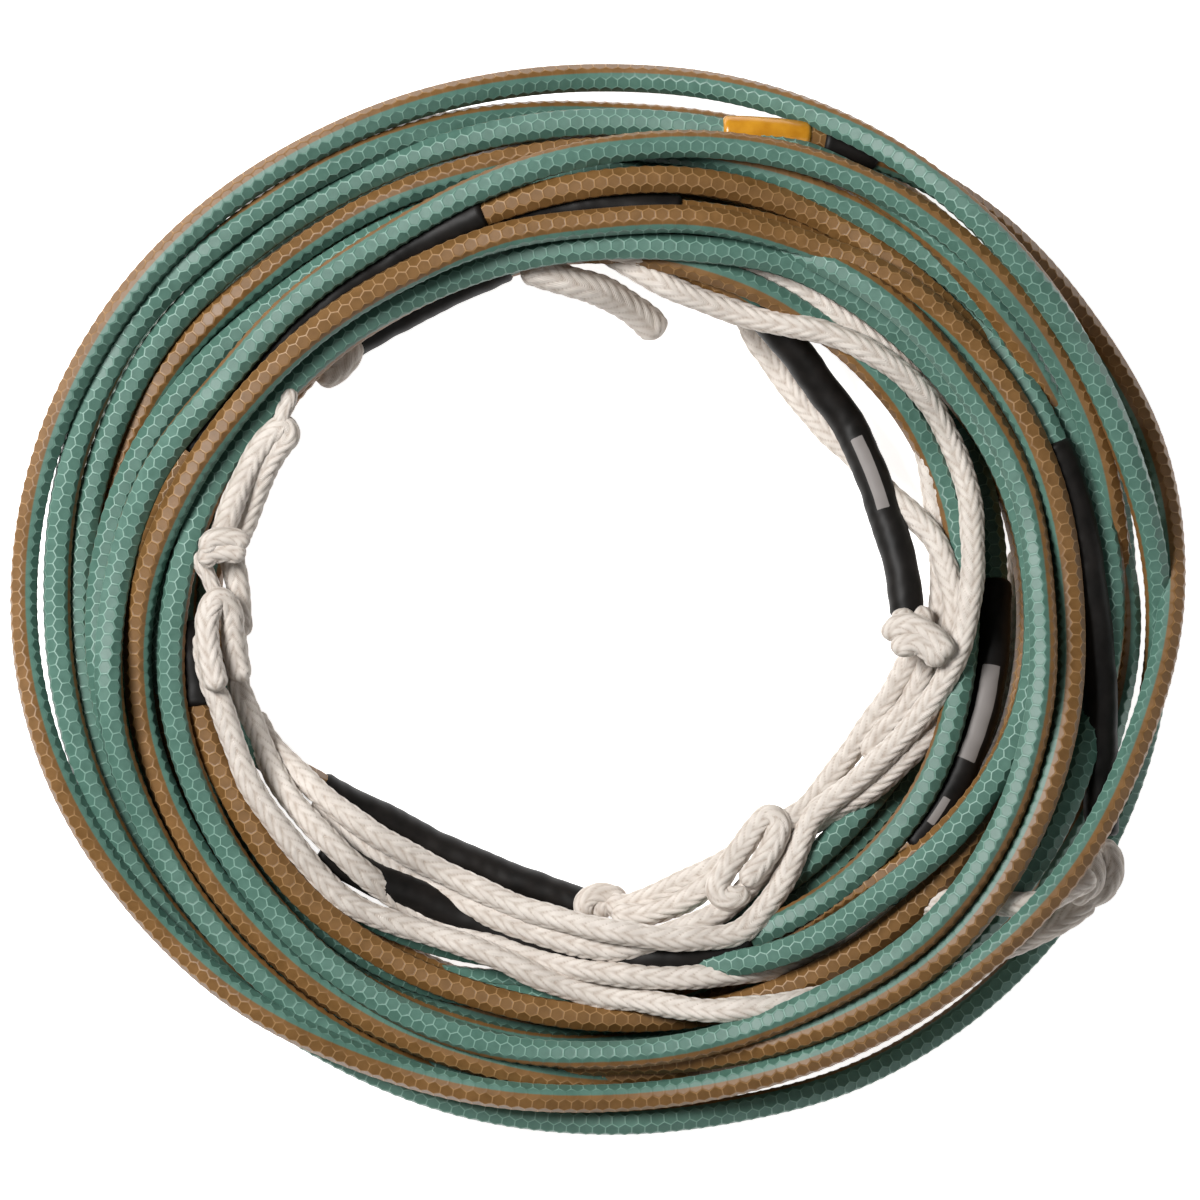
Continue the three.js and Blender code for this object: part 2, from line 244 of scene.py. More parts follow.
LOOP_TOP = [
    (34, 109.5), (40, 108), (45, 106.5), (50, 105.5), (60, 105), (70, 102), (75, 100.5), (80, 99),
    (85, 98.5), (90, 100),
]
LOOP_SHORT = [
    (-54, 79), (-50, 82), (-45, 83.5), (-40, 83.5), (-35, 83.5), (-30, 84), (-26, 84.5),
    (-21, 86), (-17, 87.5), (-12, 89.5), (-9, 91),
]
LINK_OUTER = [
    (184.5, 111), (188, 111.5), (192, 111.5), (195, 110.5), (202, 110.5), (210, 111), (225, 111),
    (232, 110.5), (240, 107), (248, 105), (255, 105.5), (262, 108.5), (270, 112), (275, 113.5),
    (280, 116.5), (285, 120), (290, 122.5), (293, 124.5), (298, 128), (304, 132.5), (309.5, 137),
    (314.5, 142.5), (319.5, 151.5), (323, 156.5), (326, 160), (329, 163),
]
LINK_INNER = [
    (184.5, 103.5), (188, 103.5), (192, 104), (195, 104.5), (210, 104), (225, 102), (235, 102),
    (240, 102), (248, 103), (255, 102.5), (262, 103.5), (270, 105), (280, 108.5), (290, 112.5),
    (300, 117.5), (310, 121.5), (314, 123.5), (317, 126), (320, 131), (322, 137), (323.5, 144),
    (326, 151.5), (329, 156), (331, 160),
]
TAIL = [(77, 77), (80, 80.5), (85, 84.5), (90, 88), (95, 90.5), (103, 97)]
MIDDLE_LEG_1 = [
    (271.5, 86.5), (275.5, 87.5), (281, 85.5), (286, 84), (291.5, 83), (296.5, 82.5), (300.5, 82),
]
MIDDLE_LEG_2 = [(272.5, 89.5), (277.5, 90.5), (281.5, 90), (286, 89), (290.5, 87), (294, 85.5), (297, 84.5)]
LEFT_LOOP_END = [
    (170.5, 103.5), (166.5, 102), (162.5, 101), (158, 100.5), (154.5, 99.5), (152, 98.5), (151, 101),
    (153, 103), (156.5, 104.5), (161, 105.5), (165, 106.5), (169, 107.5), (172, 108.5),
]

# The strands of each knot: (route, radius, order), then for some the places where the knot holds them
# up: (number of the route's point, height).
KNOTS = {
    "knot_left_link": [
        ([(193.5, 110), (189.5, 110.5), (186, 110.5), (182.5, 110), (179.8, 107), (181.8, 103.5),
          (185, 103.5), (188.5, 103.5), (193, 103)], BRAID_RADIUS, 14),
        ([(170.5, 103), (173, 104), (176, 102.5), (179, 101.5), (182.5, 101.5), (186, 101.5)],
         BRAID_RADIUS, 13),
        ([(173, 113.5), (174.5, 113), (175.5, 111), (177.5, 109), (180, 107)], THIN_RADIUS, 13.1),
    ],
    "knot_left_wrap": [
        ([(173, 113), (172.5, 111.5), (171, 109.5), (170.5, 106), (170.5, 102.5), (171.5, 100)],
         WRAP_RADIUS, 14),
        ([(174.5, 113), (174, 111.5), (173, 109.5), (172.5, 106), (172.5, 103), (173, 100)],
         WRAP_RADIUS, 14),
        ([(145.5, 105.5), (147, 103.5), (149, 103), (151.5, 102)], THIN_RADIUS, 12.3),
    ],
    "knot_middle_link": [
        ([(297, 91), (295.5, 92.5), (293, 92), (292.5, 88), (296, 84), (300.5, 81), (305, 78.5),
          (308.5, 78), (309, 81.5), (306.5, 84.5), (303, 87), (299.5, 89), (297, 90.5)],
         BRAID_RADIUS, 14),
    ],
    "knot_section_three_end": [
        ([(269, 90.5), (267.5, 88), (268.5, 85), (270.5, 84), (272.5, 84.5), (275, 86)],
         BRAID_RADIUS, 5.1),
        ([(271.5, 91), (270.5, 88), (271, 85.5), (273, 85), (275, 87)], BRAID_RADIUS, 5.1),
    ],
    "knot_section_three_start": [
        ([(352, 83), (354.5, 84), (355.5, 88), (354.5, 93), (352.5, 97.5), (350.5, 99.5)],
         BRAID_RADIUS, 12.2),
        ([(349.5, 85.5), (351.5, 87), (352.5, 91), (351, 95.5), (349, 98)], BRAID_RADIUS, 12.2),
        ([(358.5, 87), (355, 86.5), (351.5, 87)], BRAID_RADIUS, 11.7, (0, 36), (2, 40)),
        ([(359, 91), (355.5, 92), (352.5, 92.5)], BRAID_RADIUS, 11.7),
        ([(329.5, 87), (331, 88), (336, 89.5), (340.5, 92.5), (344.5, 94), (349, 94.5), (352, 94)],
         BRAID_RADIUS, 11.2),
    ],
    "knot_section_four_end": [
        ([(133, 102), (136, 99.5), (139, 99.5), (142, 101.5)], TAIL_RADIUS, 4.6),
    ],
    "knot_section_one_start": [
        ([(334, 157), (333.5, 161.5), (332, 164.5), (330, 164.5), (328.5, 161)],
         BRAID_RADIUS, 12.4, (0, 39), (3, 38)),
        ([(333, 154.5), (331.5, 159), (330, 160.5), (327.5, 157.5)], BRAID_RADIUS, 12.6, (0, 42), (2, 42)),
    ],
}
BESIDE_FIRST_SLEEVE = [
    (330, 123), (335, 121), (341, 119.5), (347, 119), (352, 118.5), (357, 119), (362, 120),
    (367, 121.5),
]


def shifted(route, turn):
    return [(angle + turn, distance) for angle, distance in route]


def outline_at(outline, angle):
    """The outline's distance at an angle, round the whole circle."""
    angles = [a for a, _ in outline] + [360]
    distances = [d for _, d in outline] + [outline[0][1]]
    return float(np.interp(angle % 360, angles, distances))


def column_share(turn):
    """Where a buried turn lies across the hank, 0 inside and 1 outside."""
    layer = turn // TURNS_IN_LAYER
    offset = LAYER_OFFSET if layer % 2 else 0
    return COLUMN_SPAN * BURIED_COLUMNS[turn] / max(BURIED_COLUMNS) + offset


def buried_turns():
    """The main line's buried turns, layer on layer, from its start to its first visible stretch."""
    route = []
    for step in range(1, int(BURIED_TURNS * 360 / BURIED_STEP)):
        travelled = step * BURIED_STEP
        turn = travelled // 360
        here = column_share(turn)
        following = column_share(min(turn + 1, len(BURIED_COLUMNS) - 1))
        drift = max(0, (travelled / 360 - turn - (1 - DRIFT_SHARE)) / DRIFT_SHARE)
        share = here + (following - here) * drift * drift * (3 - 2 * drift)
        angle = BURIED_START + travelled
        inside = outline_at(BURIED_INSIDE, angle) + LINE_RADIUS
        outside = outline_at(BURIED_OUTSIDE, angle) - LINE_RADIUS
        route.append((angle, inside + (outside - inside) * share))
    return route


# Where each visible stretch starts, in whole turns from the main line's start.
TURN_INNER = 13 * 360
TURN_SHORT = TURN_INNER + 720
TURN_MIDDLE = TURN_SHORT + 360
TURN_WANDERING = TURN_MIDDLE + 720
TURN_OUTER = TURN_WANDERING + 720

MAIN_LINE = (
    START_OF_MAIN_LINE
    + buried_turns()
    + shifted(TOP_INNER, TURN_INNER)
    + shifted(LINK_AFTER_INNER, TURN_INNER + 720)
    + shifted(TOP_SHORT, TURN_SHORT)
    + shifted(LINK_AFTER_SHORT, TURN_SHORT + 360)
    + shifted(TOP_MIDDLE, TURN_MIDDLE)
    + shifted(LINK_AFTER_MIDDLE, TURN_MIDDLE + 360)
    + shifted(TOP_WANDERING, TURN_WANDERING)
    + shifted(LINK_AFTER_WANDERING, TURN_WANDERING + 360)
    + shifted(TOP_OUTER, TURN_OUTER)
)

# The order in which ropes lie: (angle from which it holds, order). A higher order lies on a lower one.
MAIN_ORDER = (
    [(-38, 1.5), (-27, -1), (45, 0), (1840, 1), (3640, 2)]
    + shifted([(296, 10), (573, 12), (765, 6)], TURN_INNER)
    + shifted([(901, 4)], TURN_INNER)
    + shifted([(320, 8), (556, 4)], TURN_SHORT)
    + shifted([(272, 9), (331, 11), (619, 4)], TURN_MIDDLE)
    + shifted([(20, 13), (232, 3.5), (340, 7), (395, 9), (566, 4)], TURN_WANDERING)
    + shifted([(84, 8), (116, 10), (358, 14), (703, 15), (739, 9)], TURN_OUTER)
)

# The way the teal half of the jacket faces: (angle, degrees from straight up towards the outside).
MAIN_TWIST = (
    [(-38, 0), (30, 10), (1000, 200), (2200, -100), (3600, 160), (4800, 30)]
    + shifted([(283, 0), (460, 0), (475, 30), (560, 30), (600, -32), (615, -63), (720, -63),
               (735, -72), (750, -63), (900, 40)], TURN_INNER)
    + shifted([(320, 0), (350, -20), (360, -41), (390, -41), (405, -63), (420, -101), (435, -120),
               (465, -90), (480, -101), (495, -130), (510, -114), (525, -114)], TURN_SHORT)
    + shifted([(285, -110), (330, -110), (360, -123), (390, -123), (405, -134), (420, -117),
               (435, -117), (450, -123), (465, -143), (480, -143), (495, -130), (510, -120),
               (540, -120), (555, -107), (585, -107)], TURN_MIDDLE)
    + shifted([(30, -94), (45, -69), (60, -60), (75, -60), (90, -37), (135, -37), (150, -5),
               (175, 5), (185, 37), (230, 45), (345, 101), (380, 101), (405, 30), (425, 0),
               (525, 0)], TURN_WANDERING)
    + shifted([(100, -60), (120, -60), (150, 30), (235, 37), (360, 40), (380, 5), (390, -32),
               (420, -60), (450, -75), (480, -73), (495, -78), (510, -84), (525, -93), (540, -104),
               (555, -110), (585, -110), (630, -107), (660, -99), (690, -99), (705, -101),
               (720, -101), (735, -112), (745, -120), (777, -130), (796, -130)], TURN_OUTER)
)


# ---- Laying the ropes -------------------------------------------------------

class Rope:
    """One rope to be laid: a route, a radius, and its order and twist along the route.

    A coil goes round one way, so its order, twist and sleeves are given by angle. A strand may turn back,
    so its order is given by the number of the route's point from which it holds. held lists the places
    where a knot holds it up, in the same way, each with the height in mm. slope is the steepest that it
    climbs, where that isn't the usual one.
    """

    def __init__(
        self, name, route, radius, order, twist=((0, 0),), sleeves=(), coil=False, step=COIL_STEP,
        held=(), slope=None,
    ):
        self.name = name
        self.radius = radius
        self.step = step
        self.slope = slope or (LINE_SLOPE if coil else BRAID_SLOPE)
        self.softness = LINE_SOFTNESS if coil else BRAID_SOFTNESS
        self.twist = twist
        self.sleeves = dict(sleeves)
        places, line = smooth_coil(route) if coil else smooth_strand(route)
        self.flat, self.places = spaced_points(places, line, step)
        starts = np.array([start for start, _ in order])
        values = np.array([value for _, value in order], float)
        index = np.searchsorted(starts, self.places + 1e-6, side="right") - 1
        self.orders = values[np.clip(index, 0, None)]
        self.reach = np.full(len(self.flat), radius)
        for first, last in self.sleeves.values():
            self.reach[(self.places >= first) & (self.places <= last)] = SLEEVE_RADIUS
        self.heights = self.reach.copy()
        self.least = np.zeros(len(self.flat))
        for place, height in held:
            self.least[np.argmin(np.abs(self.places - place))] = radius + (height - radius) / HEIGHT_SHARE

    def centreline(self):
        """The laid rope's points, in mm."""
        return np.column_stack([self.flat, self.heights])

    def sleeved_points(self, first, last):
        """The laid rope's points between two angles."""
        return self.centreline()[(self.places >= first) & (self.places <= last)]


def plan_points(angles, distances):
    """Points seen from above, in mm."""
    radians = np.radians(angles)
    return np.column_stack([distances * np.cos(radians) + CENTRE_X, distances * np.sin(radians)])


def refined(points, parts):
    """Catmull-Rom points between the given ones."""
    padded = np.vstack([2 * points[0] - points[1], points, 2 * points[-1] - points[-2]])
    p0, p1, p2, p3 = padded[:-3], padded[1:-2], padded[2:-1], padded[3:]
    pieces = []
    for step in range(parts):
        t = step / parts
        pieces.append(0.5 * (
            2 * p1 + (p2 - p0) * t
            + (2 * p0 - 5 * p1 + 4 * p2 - p3) * t ** 2
            + (3 * p1 - p0 - 3 * p2 + p3) * t ** 3
        ))
    fine = np.stack(pieces, axis=1).reshape(-1, points.shape[1])
    return np.vstack([fine, points[-1]])


def smooth_coil(route):
    """A coil's route as a smooth line, and the angle at each point."""
    knots = np.array(route, float)
    slopes = np.gradient(knots[:, 1], knots[:, 0])
    angles, distances = [], []
    for i in range(len(knots) - 1):
        (a0, d0), (a1, d1) = knots[i], knots[i + 1]
        span = a1 - a0
        count = max(2, int(span * COIL_DETAIL))
        t = np.arange(count) / count
        t2, t3 = t * t, t * t * t
        angles.append(a0 + t * span)
        distances.append(
            (2 * t3 - 3 * t2 + 1) * d0
            + (t3 - 2 * t2 + t) * slopes[i] * span
            + (3 * t2 - 2 * t3) * d1
            + (t3 - t2) * slopes[i + 1] * span
        )
    angles = np.append(np.concatenate(angles), knots[-1, 0])
    distances = np.append(np.concatenate(distances), knots[-1, 1])
    return angles, plan_points(angles, distances)


def smooth_strand(route):
    """A strand's route as a smooth line, and the number of the route's point at each point."""
    knots = np.array(route, float)
    line = refined(plan_points(knots[:, 0], knots[:, 1]), STRAND_DETAIL)
    return np.arange(len(line)) / STRAND_DETAIL, line


def along(points):
    """The length travelled at each point of a line."""
    return np.concatenate([[0], np.cumsum(np.linalg.norm(np.diff(points, axis=0), axis=1))])


def spaced_points(places, line, step):
    """Evenly spaced points of a line, and the place of each along its route."""
    travelled = along(line)
    count = max(4, int(travelled[-1] / step) + 1)
    even = np.linspace(0, travelled[-1], count)
    spaced = np.column_stack([np.interp(even, travelled, line[:, axis]) for axis in (0, 1)])
    return spaced, np.interp(even, travelled, places)


def eased(heights, step, steepest, softness):
    """Heights as long low humps: a rope climbs no steeper than it can, and bends over a certain length."""
    count = len(heights)
    reach = int(softness / step)
    padded = np.pad(heights, reach, mode="edge")
    widened = np.max([padded[k:k + count] for k in range(2 * reach + 1)], axis=0)
    climb = steepest * step * np.arange(count)
    after_hump = np.maximum.accumulate(widened + climb) - climb
    before_hump = np.maximum.accumulate((widened - climb)[::-1])[::-1] + climb
    raised = np.maximum(after_hump, before_hump)
    margin = 3 * reach
    window = np.arange(-margin, margin + 1) * step
    weights = np.exp(-window ** 2 / (2 * softness ** 2))
    weights /= weights.sum()
    return np.convolve(np.pad(raised, margin, mode="edge"), weights, "valid")


def lay_ropes(ropes):
    """Gives every rope its heights: each point lies on the floor, or on what is below it."""
    flat = np.concatenate([rope.flat for rope in ropes])
    order = np.concatenate([rope.orders for rope in ropes])
    radius = np.concatenate([rope.reach + LAY_GAP for rope in ropes])
    least = np.concatenate([rope.least for rope in ropes])
    owner = np.concatenate([np.full(len(rope.flat), i) for i, rope in enumerate(ropes)])
    height = radius.copy()
    for _ in range(LAYING_ROUNDS):
        support = radius.copy()
        for level in np.unique(order):
            upper = np.flatnonzero(order == level)
            lower = np.flatnonzero(order < level)
            if len(lower) == 0:
                continue
            for chunk in np.array_split(upper, max(1, len(upper) // LAYING_CHUNK)):
                gap = flat[chunk, None, :] - flat[None, lower, :]
                reach = radius[chunk, None] + radius[None, lower]
                room = reach ** 2 - (gap ** 2).sum(axis=2)
                same_rope = owner[chunk, None] == owner[None, lower]
                near = np.abs(chunk[:, None] - lower[None]) < OWN_REACH
                touching = (room > 0) & ~(same_rope & near)
                rest = np.where(touching, height[None, lower] + np.sqrt(np.maximum(room, 0)), 0)
                support[chunk] = np.maximum(radius[chunk], rest.max(axis=1))
                height[chunk] = support[chunk]
        for i, rope in enumerate(ropes):
            mine = owner == i
            height[mine] = eased(np.maximum(support, least)[mine], rope.step, rope.slope, rope.softness)
    for i, rope in enumerate(ropes):
        rope.heights = rope.reach + (height[owner == i] - rope.reach - LAY_GAP) * HEIGHT_SHARE


main_line = Rope(
    "main_line", MAIN_LINE, LINE_RADIUS, MAIN_ORDER, MAIN_TWIST, coil=True,
    sleeves={
        "sleeve_main_line_start": (-38, 4),
        "sleeve_main_line_end": (TURN_OUTER + 777, TURN_OUTER + 785.3),
        "marker_sleeve": (TURN_OUTER + 785.3, TURN_OUTER + 796),
    },
)
section_one = Rope(
    "section_one", SECTION_ONE, LINE_RADIUS,
    [(335, 12), (350, 9), (381, 7), (460, 7), (509, 9.5), (552, 4), (740, 7.5)],
    [(335, 0), (560, 0), (740, 180), (880, 180)], coil=True,
    sleeves={"sleeve_section_one_start": (335, 380), "sleeve_section_one_end": (825, 880)},
)
section_two = Rope(
    "section_two", SECTION_TWO, LINE_RADIUS,
    [(183, 6), (345, 4.2), (765, 6.5)],
    [(183, 180), (825, 180)], coil=True,
    sleeves={"sleeve_section_two_start": (183, 195.5), "sleeve_section_two_end": (796.5, 825)},
)
section_three = Rope(
    "section_three", SECTION_THREE, LINE_RADIUS,
    [(357, 2), (422, 5)],
    [(357, 90), (450, 90), (600, 0), (720, 0), (988, 90)], coil=True, held=[(357, 34)],
    sleeves={"sleeve_section_three_start": (357, 422), "sleeve_section_three_end": (933, 988)},
)
section_four = Rope(
    "section_four", SECTION_FOUR, LINE_RADIUS,
    [(222, 6), (436, 4.5), (620, 4), (800, 4.5)],
    [(222, 30), (360, 30), (375, 53), (420, 84), (435, 84), (600, 0), (855, 30)], coil=True,
    sleeves={"sleeve_section_four_start": (222, 296), "sleeve_section_four_end": (823, 855)},
)
coated = [main_line, section_one, section_two, section_three, section_four]

braided = [
    Rope("loop_strand_outer", LOOP_OUTER, BRAID_RADIUS, [(0, 12), (len(LOOP_OUTER) - 5, 3)]),
    Rope("loop_strand_inner", LOOP_INNER, BRAID_RADIUS, [(0, 11), (18, 3)]),
    Rope("loop_strand_short", LOOP_SHORT, BRAID_RADIUS, [(0, 11.2)], held=[(0, 28), (10, 34)]),
    Rope("loop_strand_under_sleeve", LOOP_UNDER_SLEEVE, BRAID_RADIUS, [(0, 11.7), (9, 1)]),
    Rope("loop_strand_beside", LOOP_BESIDE, BRAID_RADIUS, [(0, 11.2), (6, 3)]),
    Rope("loop_strand_top", LOOP_TOP, BRAID_RADIUS, [(0, 6)]),
    Rope(
        "link_strand_outer", LINK_OUTER, BRAID_RADIUS, [(0, 12.2), (17, 4.1), (20, 8.5), (22, 12)],
        held=[(25, 38)],
    ),
    Rope(
        "link_strand_inner", LINK_INNER, BRAID_RADIUS, [(0, 12.1), (13, 8.4), (20, 8.6), (21, 12.1)],
        slope=LINK_SLOPE,
    ),
    Rope("free_tail", TAIL, TAIL_RADIUS, [(0, 6.5)], slope=TAIL_SLOPE),
    Rope("middle_link_leg_1", MIDDLE_LEG_1, BRAID_RADIUS, [(0, 5.1)], step=KNOT_STEP, held=[(6, 27)]),
    Rope("middle_link_leg_2", MIDDLE_LEG_2, BRAID_RADIUS, [(0, 5.1)], step=KNOT_STEP, held=[(5, 27)]),
    Rope("loop_end_left", LEFT_LOOP_END, BRAID_RADIUS, [(0, 12.5), (6, 12.9)], step=KNOT_STEP),
]
beside_sleeve = Rope("strand_beside_first_sleeve", BESIDE_FIRST_SLEEVE, BRAID_RADIUS, [(0, 0.6)])
knots = {
    name: [
        Rope(name, route, radius, [(0, order)], step=KNOT_STEP, held=held)
        for route, radius, order, *held in strands
    ]
    for name, strands in KNOTS.items()
}

knot_strands = [strand for strands in knots.values() for strand in strands]
lay_ropes(coated + braided + [beside_sleeve] + knot_strands)


# ---- Turning a laid rope into surfaces --------------------------------------

class Path:
    """A smooth line through a rope's points, with a direction up and a direction outwards at each place."""

    def __init__(self, points):
        self.points = refined(np.asarray(points, float), PATH_DETAIL)
        self.travelled = along(self.points)
        self.length = self.travelled[-1]
        tangent = np.gradient(self.points, self.travelled, axis=0)
        tangent /= np.linalg.norm(tangent, axis=1)[:, None]
        self.out = np.column_stack([tangent[:, 1], -tangent[:, 0], np.zeros(len(tangent))])
        self.out /= np.maximum(np.linalg.norm(self.out, axis=1)[:, None], 1e-6)
        self.up = np.cross(self.out, tangent)

    def sample(self, values, travelled):
        columns = [np.interp(travelled, self.travelled, values[:, axis]) for axis in range(3)]
        return np.stack(columns, axis=-1)

    def between(self, start, end):
        """The line's points from one travelled length to another."""
        return self.points[(self.travelled >= start) & (self.travelled <= end)]

    def surface(self, travelled, turn, radius, width=1.0, thickness=1.0):
        """Points at a distance from the line. turn is the angle from up towards the outside."""
        centre = self.sample(self.points, travelled)
        up = self.sample(self.up, travelled) * thickness
        out = self.sample(self.out, travelled) * width
        turn, radius = np.asarray(turn)[..., None], np.asarray(radius)[..., None]
        return centre + radius * (np.cos(turn) * up + np.sin(turn) * out)


def make_piece(name, vertices, faces, material, stands_for, attributes, sharp_from=None):
    """A mesh piece from vertices in mm and arrays of faces, riding on the part's one body.

    An edge between two vertices numbered sharp_from or more is sharp.
    """
    mesh = bpy.data.meshes.new(name)
    loops = np.concatenate([block.ravel() for block in faces]).astype(np.int32)
    sizes = np.concatenate([np.full(len(block), block.shape[1]) for block in faces])
    starts = np.concatenate([[0], np.cumsum(sizes)[:-1]]).astype(np.int32)
    mesh.vertices.add(len(vertices))
    mesh.vertices.foreach_set("co", (np.asarray(vertices) * MM).astype(np.float32).ravel())
    mesh.loops.add(len(loops))
    mesh.loops.foreach_set("vertex_index", loops)
    mesh.polygons.add(len(sizes))
    mesh.polygons.foreach_set("loop_start", starts)
    mesh.update(calc_edges=True)
    mesh.shade_smooth()
    if sharp_from is not None:
        ends = np.empty(2 * len(mesh.edges), np.int32)
        mesh.edges.foreach_get("vertices", ends)
        sharp = (ends.reshape(-1, 2) >= sharp_from).all(axis=1)
        mesh.attributes.new("sharp_edge", "BOOLEAN", "EDGE").data.foreach_set("value", sharp)
    for attribute_name, values in attributes.items():
        attribute = mesh.attributes.new(attribute_name, "FLOAT", "POINT")
        attribute.data.foreach_set("value", np.asarray(values, np.float32).ravel())
    mesh.materials.append(material)
    piece = bpy.data.objects.new(name, mesh)
    bpy.context.scene.collection.objects.link(piece)
    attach(piece, "root")
    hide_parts(*stands_for)
    return piece


def grid_faces(rows, columns):
    """Quads of a tube's grid of rows along it and columns round it, and its two end caps."""
    row, column = np.meshgrid(np.arange(rows - 1), np.arange(columns), indexing="ij")
    following = (column + 1) % columns
    quads = np.stack([
        row * columns + column,
        row * columns + following,
        (row + 1) * columns + following,
        (row + 1) * columns + column,
    ], axis=-1).reshape(-1, 4)
    first_cap = np.arange(columns)[None, ::-1]
    last_cap = (rows - 1) * columns + np.arange(columns)[None, :]
    return [quads, first_cap, last_cap]


def jacket(name, rope, path, first_row, last_row, stands_for, material):
    """Rows of the coated line's jacket: hexagonal cells between raised ridges.

    The cells turn round the line with the jacket's two halves.
    """
    columns = HEX_COLUMNS
    column_turn = 2 * math.pi / columns
    third = column_turn / 3

    # Ridge corners: two lines of corners for each column, each line a row's pitch apart.
    corner_rows = np.arange(first_row - 1, last_row + 1)
    row, line = np.meshgrid(corner_rows, np.arange(2 * columns), indexing="ij")
    owner = line // 2
    corner_turn = owner * column_turn + np.where(line % 2, third, -third)
    corner_along = (row + 0.5 + 0.5 * (owner % 2)) * HEX_PITCH

    def corner(cell_row, line_index):
        return (cell_row - first_row + 1) * 2 * columns + line_index % (2 * columns)

    # Cells: each takes six of those corners.
    cell_rows = np.arange(first_row, last_row)
    cell_row, cell_column = np.meshgrid(cell_rows, np.arange(columns), indexing="ij")
    side_row = cell_row - 1 + cell_column % 2
    rim = np.stack([
        corner(cell_row - 1, 2 * cell_column),
        corner(cell_row - 1, 2 * cell_column + 1),
        corner(side_row, 2 * cell_column + 2),
        corner(cell_row, 2 * cell_column + 1),
        corner(cell_row, 2 * cell_column),
        corner(side_row, 2 * cell_column - 1),
    ], axis=-1).reshape(-1, 6)

    cell_turn = (cell_column * column_turn).reshape(-1, 1)
    cell_along = ((cell_row + 0.5 * (cell_column % 2)) * HEX_PITCH).reshape(-1, 1)
    floor_turn = cell_turn + np.array([-third, third, 2 * third, third, -third, -2 * third]) * HEX_INSET
    floor_along = cell_along + np.array([-0.5, -0.5, 0, 0.5, 0.5, 0]) * HEX_PITCH * HEX_INSET

    floor_index = corner_turn.size + np.arange(floor_turn.size).reshape(-1, 6)
    next_rim = np.roll(rim, -1, axis=1)
    next_floor = np.roll(floor_index, -1, axis=1)
    walls = np.stack([rim, next_rim, next_floor, floor_index], axis=-1)

    turn = np.concatenate([corner_turn.ravel(), floor_turn.ravel()])
    travelled = np.concatenate([corner_along.ravel(), floor_along.ravel()])
    crest = np.concatenate([np.ones(corner_turn.size), np.zeros(floor_turn.size)])
    teal = np.cos(turn)
    emboss = np.clip((np.abs(teal) - SEAM_START) / (SEAM_END - SEAM_START), 0, 1)
    radius = rope.radius - HEX_DEPTH * (1 - crest) * emboss

    place = np.interp(travelled, np.linspace(0, path.length, len(rope.places)), rope.places)
    twist_places = [twist_place for twist_place, _ in rope.twist]
    facing = np.interp(place, twist_places, np.radians([value for _, value in rope.twist]))
    vertices = path.surface(travelled, turn + facing, radius)
    # ridge feeds the coated material's paler ridge colour: partly the ridges' own lighter tint, partly
    # painted highlight.
    return make_piece(
        name, vertices, [floor_index, walls.reshape(-1, 4)], material, stands_for,
        {"ridge": crest * emboss, "teal": teal}, sharp_from=corner_turn.size,
    )


def braid_surface(path, radius):
    """Vertices and faces of a braided rope: columns of slanting stitches that meet in chevrons."""
    rows = max(8, int(path.length / BRAID_STEP))
    columns = BRAID_COLUMNS * BRAID_DETAIL
    travelled = np.linspace(0, path.length, rows)[:, None] * np.ones((1, columns))
    turn = (np.arange(columns) / columns * 2 * math.pi)[None, :] * np.ones((rows, 1))
    place = (np.arange(columns)[None, :] + 0.5) / BRAID_DETAIL
    column = np.floor(place)
    across = place - column - 0.5
    slant = np.where(column % 2, 1, -1) * across * BRAID_SLANT
    # Waves of unlike lengths stand in for the unevenness of real stitches.
    uneven = (
        0.16 * np.sin(travelled * 0.19 + 1.7 * column)
        + 0.08 * np.sin(travelled * 0.47 + 2.9 * column)
    )
    stitch = travelled / BRAID_PITCH + slant + uneven
    plumpness = 0.85 + 0.15 * np.sin(12.9 * np.floor(stitch) + 7.1 * column)
    bulge = plumpness * np.sqrt(np.abs(np.sin(math.pi * stitch))) * np.cos(math.pi * across * 0.7)
    from_end = np.clip(np.minimum(travelled, path.length - travelled) / radius, 0, 1)
    rounding = np.sqrt(np.clip(1 - (1 - from_end) ** 2, 0.02, 1))
    swelling = 1 + 0.03 * np.sin(travelled * 0.31) + 0.03 * np.sin(travelled * 0.12 + turn)
    distance = (radius * swelling - BRAID_DEPTH * (1 - bulge)) * rounding
    vertices = path.surface(travelled, turn, distance, BRAID_WIDTH, BRAID_THICKNESS).reshape(-1, 3)
    # crease feeds the braid material's painted shade between the stitches.
    attributes = {"crease": (1 - bulge).ravel(), "fibre": stitch.ravel()}
    return vertices, grid_faces(rows, columns), attributes


def braid(name, ropes, stands_for, material):
    """One piece made of one or more braided strands."""
    vertices, faces, attributes = [], [], {"crease": [], "fibre": []}
    count = 0
    for rope in ropes:
        path = Path(rope.centreline())
        strand_vertices, strand_faces, strand_attributes = braid_surface(path, rope.radius)
        faces += [block + count for block in strand_faces]
        vertices.append(strand_vertices)
        count += len(strand_vertices)
        for key, values in strand_attributes.items():
            attributes[key].append(values)
    attributes = {key: np.concatenate(values) for key, values in attributes.items()}
    return make_piece(name, np.vstack(vertices), faces, material, stands_for, attributes)


